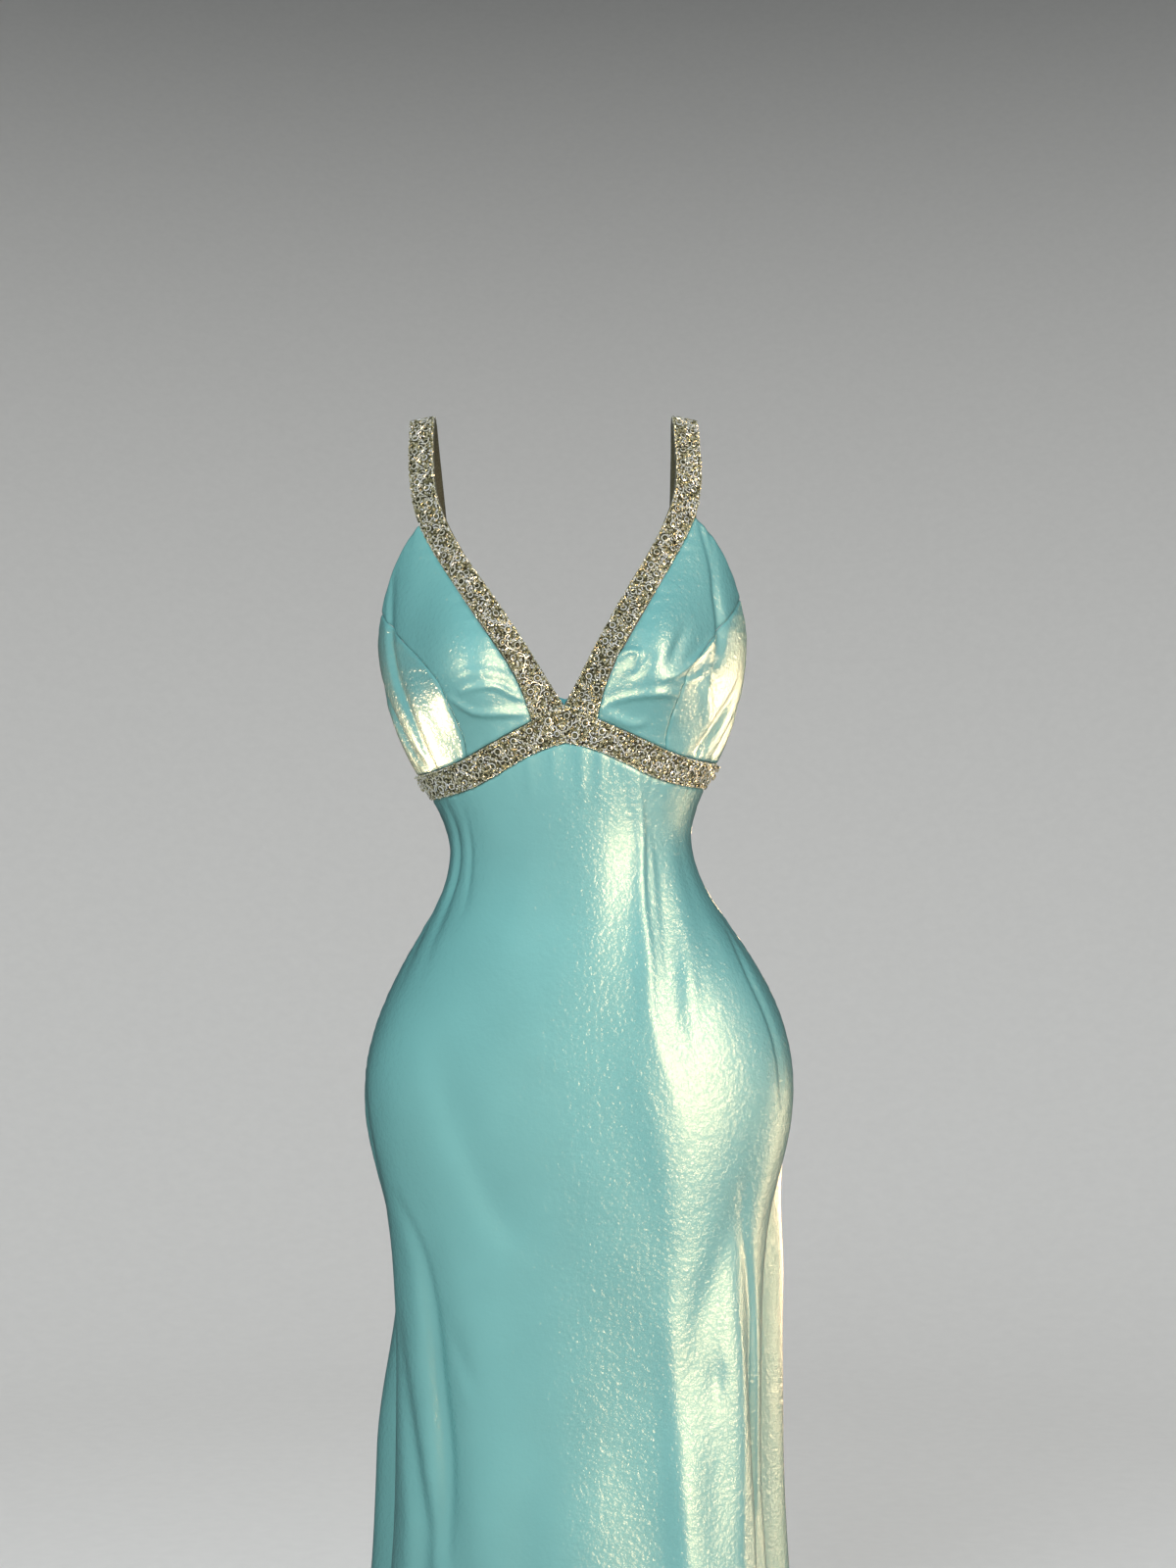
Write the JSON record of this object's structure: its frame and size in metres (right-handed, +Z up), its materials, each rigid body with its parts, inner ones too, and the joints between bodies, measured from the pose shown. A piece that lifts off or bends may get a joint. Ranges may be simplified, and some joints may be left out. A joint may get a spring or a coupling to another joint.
{
  "type": "evening gown",
  "caption": "Floor-length satin evening gown, filled out as worn: deep V neck, beaded straps and underbust band, seamed cups, close waist and hips, long skirt flaring in soft folds to the hem.",
  "frame": {"origin": "midway between the tops of the two straps, where the wearer's shoulders hold the gown", "axes": "+Z up, -Y out of the front of the gown, +X to its own left, which is the viewer's right from the front; left and right in the node names are the wearer's"},
  "size_m": [0.5997, 0.546, 1.4517],
  "materials": {
    "satin": "bright heavy satin with a slightly pebbled face, pale aqua",
    "beading": "champagne silver seed beads, sequins and stones sewn close on a strip of cloth",
    "tape": "matte woven zip tape",
    "zip_metal": "gloss enamel dyed to match the satin"
  },
  "bodies": {
    "gown": {"skirt_front": "satin", "back_left": "satin", "back_right": "satin", "cup_front_left": "satin", "cup_front_right": "satin", "cup_side_left": "satin", "cup_side_right": "satin", "strap_left": "beading", "strap_right": "beading", "band_underbust": "beading", "zip_tape": "tape", "zip_slider": "zip_metal"},
    "zip_pull": {"zip_pull": "zip_metal"}
  },
  "joints": [
    {"name": "zip_pull_swing", "type": "hinge", "parent": "gown", "child": "zip_pull", "pos_m": [0.01072, 0.11105, -0.26512], "axis": [1, 0, 0], "range_deg": [-10, 165]}
  ]
}
